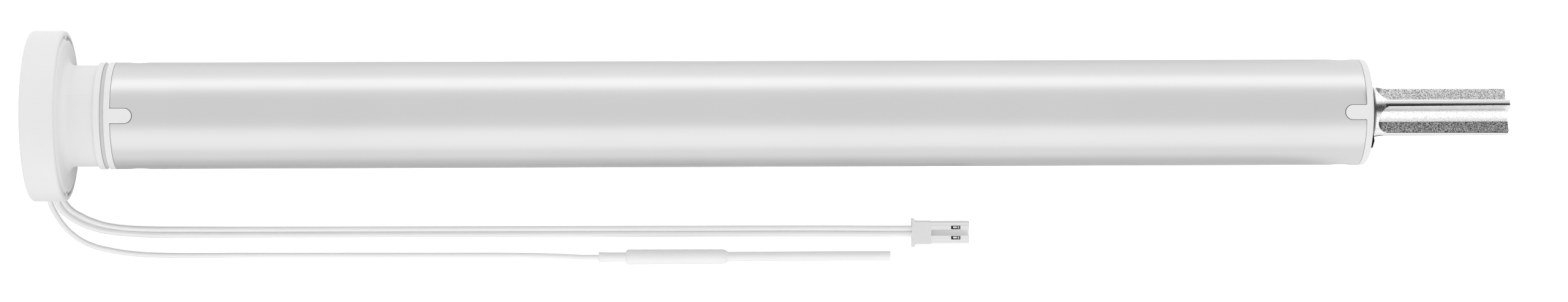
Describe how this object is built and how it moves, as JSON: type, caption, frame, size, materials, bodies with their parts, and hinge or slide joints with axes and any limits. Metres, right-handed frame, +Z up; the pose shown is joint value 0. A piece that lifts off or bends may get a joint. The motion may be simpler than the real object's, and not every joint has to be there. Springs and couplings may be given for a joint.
{
  "type": "tubular roller blind motor",
  "caption": "Tubular roller blind motor with a round white head, aluminium tube, planetary gearbox, fluted drive shaft, plug-in supply leads and antenna wire.",
  "frame": {"origin": "middle of the head's outer face, on the motor's axis", "axes": "+X along the motor from the head to the drive shaft, +Z up from the surface the motor lies on, +Y away from the leads"},
  "size_m": [0.3896, 0.0629, 0.0448],
  "materials": {
    "white_abs": "satin white moulded ABS",
    "satin_aluminium": "satin anodised aluminium tube",
    "grey_rubber": "matte light grey rubber",
    "black_rubber": "matte black rubber",
    "cast_zinc": "bright die-cast zinc with cast grain",
    "black_steel": "blackened spring steel",
    "plain_steel": "plain steel",
    "bronze": "sintered bronze",
    "brass": "plain brass",
    "nylon": "natural nylon",
    "black_plastic": "black moulded plastic",
    "magnet": "dark grey ferrite",
    "copper": "copper",
    "circuit_green": "green solder mask",
    "grey_plastic": "light grey moulded plastic",
    "capacitor_sleeve": "dark blue sleeve",
    "lead_white": "white PVC insulation",
    "lead_red": "red PVC insulation",
    "connector_white": "white moulded nylon",
    "tinned_contact": "tinned contact metal"
  },
  "bodies": {
    "housing": {"head_drum": "white_abs", "head_body": "white_abs", "cord_grommet": "black_rubber", "isolator_ring": "grey_rubber", "head_plug": "white_abs", "plug_lock_ring": "black_plastic", "tube": "satin_aluminium", "end_cap": "white_abs", "output_bush": "bronze", "thrust_washer": "nylon", "ring_gear": "plain_steel", "motor_plate": "plain_steel", "motor_screws": "black_steel", "motor_can": "plain_steel", "motor_dampers": "black_rubber", "motor_magnets": "magnet", "motor_bushes": "bronze", "brushes": "magnet", "end_bell": "black_plastic", "motor_terminals": "brass", "speed_sensor_board": "circuit_green", "board_tray": "grey_plastic", "circuit_board": "circuit_green", "driver_chips": "black_plastic", "radio_module": "plain_steel", "buffer_capacitor": "capacitor_sleeve", "lead_header": "nylon", "inner_leads": "lead_white", "motor_leads": "lead_red", "lead_wire_a": "lead_white", "lead_wire_b": "lead_white", "connector_housing": "connector_white", "connector_contacts": "tinned_contact", "antenna_wire": "lead_white", "antenna_sleeve": "lead_white", "antenna_shrink": "lead_white", "antenna_tube": "lead_white"},
    "drive_output": {"drive_shaft": "cast_zinc", "shaft_clip": "black_steel", "output_carrier": "plain_steel"},
    "planet_3a": {"planet_3a": "nylon"},
    "planet_3b": {"planet_3b": "nylon"},
    "planet_3c": {"planet_3c": "nylon"},
    "second_carrier": {"carrier_2": "plain_steel"},
    "planet_2a": {"planet_2a": "nylon"},
    "planet_2b": {"planet_2b": "nylon"},
    "planet_2c": {"planet_2c": "nylon"},
    "first_carrier": {"carrier_1": "plain_steel"},
    "planet_1a": {"planet_1a": "nylon"},
    "planet_1b": {"planet_1b": "nylon"},
    "planet_1c": {"planet_1c": "nylon"},
    "rotor": {"motor_pinion": "brass", "motor_shaft": "plain_steel", "rotor_stack": "copper", "commutator": "copper", "encoder_magnet": "magnet"}
  },
  "joints": [
    {"name": "output_spin", "type": "hinge", "parent": "housing", "child": "drive_output", "pos_m": [0.3514, 0, 0], "axis": [1, 0, 0], "continuous": true},
    {"name": "planet_3a_spin", "type": "hinge", "parent": "drive_output", "child": "planet_3a", "pos_m": [0.33, 0.00675, 0], "axis": [1, 0, 0], "continuous": true},
    {"name": "planet_3b_spin", "type": "hinge", "parent": "drive_output", "child": "planet_3b", "pos_m": [0.33, -0.00337, 0.00585], "axis": [1, 0, 0], "continuous": true},
    {"name": "planet_3c_spin", "type": "hinge", "parent": "drive_output", "child": "planet_3c", "pos_m": [0.33, -0.00337, -0.00585], "axis": [1, 0, 0], "continuous": true},
    {"name": "second_carrier_spin", "type": "hinge", "parent": "housing", "child": "second_carrier", "pos_m": [0.3205, 0, 0], "axis": [1, 0, 0], "continuous": true},
    {"name": "planet_2a_spin", "type": "hinge", "parent": "second_carrier", "child": "planet_2a", "pos_m": [0.3205, 0.00675, 0], "axis": [1, 0, 0], "continuous": true},
    {"name": "planet_2b_spin", "type": "hinge", "parent": "second_carrier", "child": "planet_2b", "pos_m": [0.3205, -0.00337, 0.00585], "axis": [1, 0, 0], "continuous": true},
    {"name": "planet_2c_spin", "type": "hinge", "parent": "second_carrier", "child": "planet_2c", "pos_m": [0.3205, -0.00337, -0.00585], "axis": [1, 0, 0], "continuous": true},
    {"name": "first_carrier_spin", "type": "hinge", "parent": "housing", "child": "first_carrier", "pos_m": [0.3127, 0, 0], "axis": [1, 0, 0], "continuous": true},
    {"name": "planet_1a_spin", "type": "hinge", "parent": "first_carrier", "child": "planet_1a", "pos_m": [0.3127, 0.00675, 0], "axis": [1, 0, 0], "continuous": true},
    {"name": "planet_1b_spin", "type": "hinge", "parent": "first_carrier", "child": "planet_1b", "pos_m": [0.3127, -0.00337, 0.00585], "axis": [1, 0, 0], "continuous": true},
    {"name": "planet_1c_spin", "type": "hinge", "parent": "first_carrier", "child": "planet_1c", "pos_m": [0.3127, -0.00337, -0.00585], "axis": [1, 0, 0], "continuous": true},
    {"name": "rotor_spin", "type": "hinge", "parent": "housing", "child": "rotor", "pos_m": [0.28, 0, 0], "axis": [1, 0, 0], "continuous": true}
  ],
  "couplings": [
    {"joint": "planet_3a_spin", "follows": "output_spin", "ratio": -2.6667},
    {"joint": "planet_3b_spin", "follows": "output_spin", "ratio": -2.6667},
    {"joint": "planet_3c_spin", "follows": "output_spin", "ratio": -2.6667},
    {"joint": "second_carrier_spin", "follows": "output_spin", "ratio": 5},
    {"joint": "planet_2a_spin", "follows": "output_spin", "ratio": -13.333},
    {"joint": "planet_2b_spin", "follows": "output_spin", "ratio": -13.333},
    {"joint": "planet_2c_spin", "follows": "output_spin", "ratio": -13.333},
    {"joint": "first_carrier_spin", "follows": "output_spin", "ratio": 25},
    {"joint": "planet_1a_spin", "follows": "output_spin", "ratio": -66.667},
    {"joint": "planet_1b_spin", "follows": "output_spin", "ratio": -66.667},
    {"joint": "planet_1c_spin", "follows": "output_spin", "ratio": -66.667},
    {"joint": "rotor_spin", "follows": "output_spin", "ratio": 125}
  ]
}
